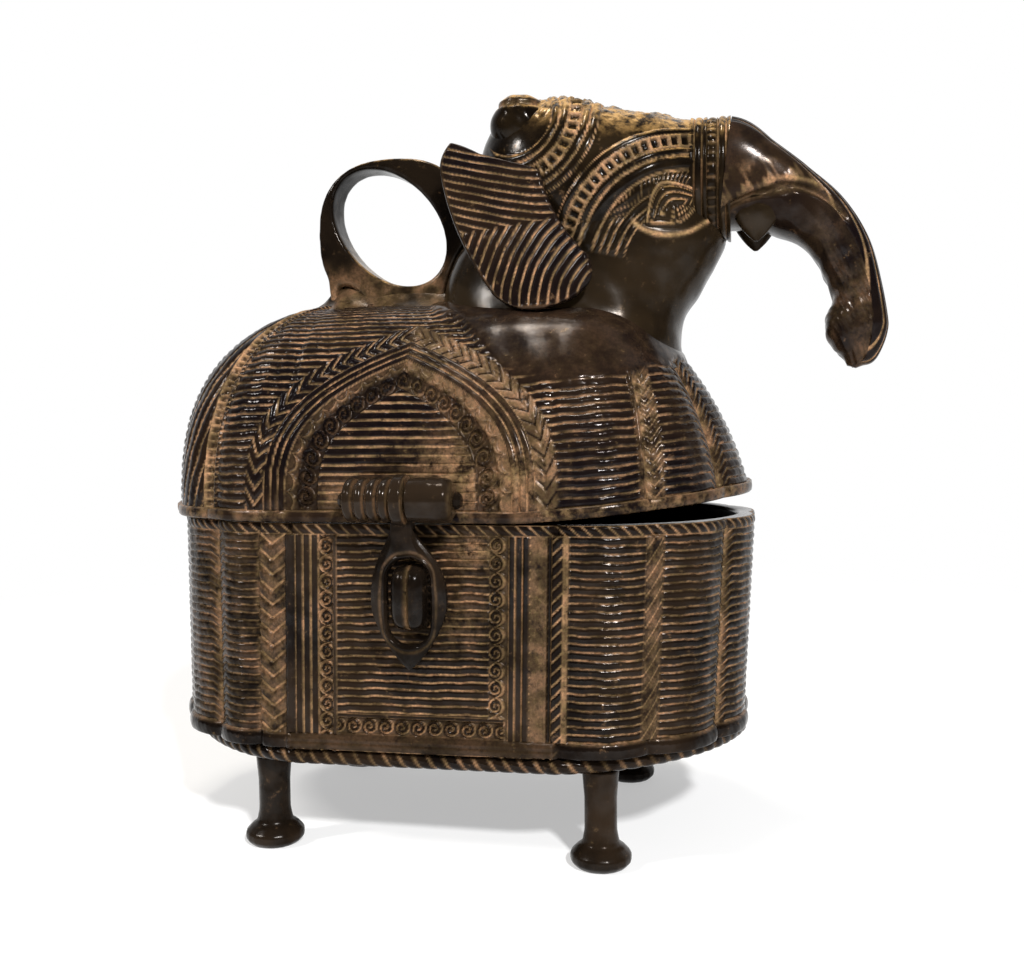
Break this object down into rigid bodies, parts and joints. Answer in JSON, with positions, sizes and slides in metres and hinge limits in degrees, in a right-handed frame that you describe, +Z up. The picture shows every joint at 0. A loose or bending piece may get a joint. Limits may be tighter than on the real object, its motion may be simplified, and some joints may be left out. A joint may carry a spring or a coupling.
{
  "type": "cast bronze casket with elephant head lid",
  "caption": "Lobed cast bronze box on turned legs; hinged fluted dome lid with a finger ring, an elephant's head and trunk, and a slotted hasp over a lug.",
  "frame": {"origin": "on the floor under the middle of the whole object's bounding box", "axes": "+X along the box towards the trunk, +Y from the hasp side to the hinge side, +Z up"},
  "size_m": [0.161, 0.0948, 0.1622],
  "materials": {
    "bronze_tub": "dark brown patina, glossy on the raised threads, tan residue in the grooves",
    "bronze_lid": "dark brown patina, glossy on the raised threads, golden on worn edges",
    "bronze_legs": "dull dark brown patina",
    "bronze_elephant": "olive brown patina with golden wear on the skull",
    "bronze_hardware": "nearly black, polished by handling"
  },
  "bodies": {
    "tub": {"tub_shell": "bronze_tub", "base_rope": "bronze_tub", "leg_front_left": "bronze_legs", "leg_front_right": "bronze_legs", "leg_rear_left": "bronze_legs", "leg_rear_right": "bronze_legs", "lug": "bronze_hardware", "tub_knuckle_left": "bronze_tub", "tub_knuckle_right": "bronze_tub", "hinge_pin": "bronze_hardware"},
    "lid": {"lid_dome": "bronze_lid", "lid_knuckle": "bronze_lid", "handle_ring": "bronze_lid", "neck_and_head": "bronze_elephant", "bridle": "bronze_elephant", "trunk": "bronze_elephant", "ear_left": "bronze_elephant", "ear_right": "bronze_elephant", "skull_knob_left": "bronze_elephant", "skull_knob_right": "bronze_elephant", "tusk_left": "bronze_elephant", "tusk_right": "bronze_elephant", "hasp_knuckle_left": "bronze_lid", "hasp_knuckle_right": "bronze_lid", "hasp_pin": "bronze_hardware"},
    "hasp": {"hasp": "bronze_hardware"}
  },
  "joints": [
    {"name": "lid_open", "type": "hinge", "parent": "tub", "child": "lid", "pos_m": [-0.01315, 0.0443, 0.0716], "axis": [-1, 0, 0], "range_deg": [0, 95]},
    {"name": "hasp_swing", "type": "hinge", "parent": "lid", "child": "hasp", "pos_m": [-0.01435, -0.0423, 0.0756], "axis": [-1, 0, 0], "range_deg": [0, 172]}
  ],
  "couplings": [
    {"joint": "hasp_swing", "follows": "lid_open", "ratio": 1.8}
  ]
}
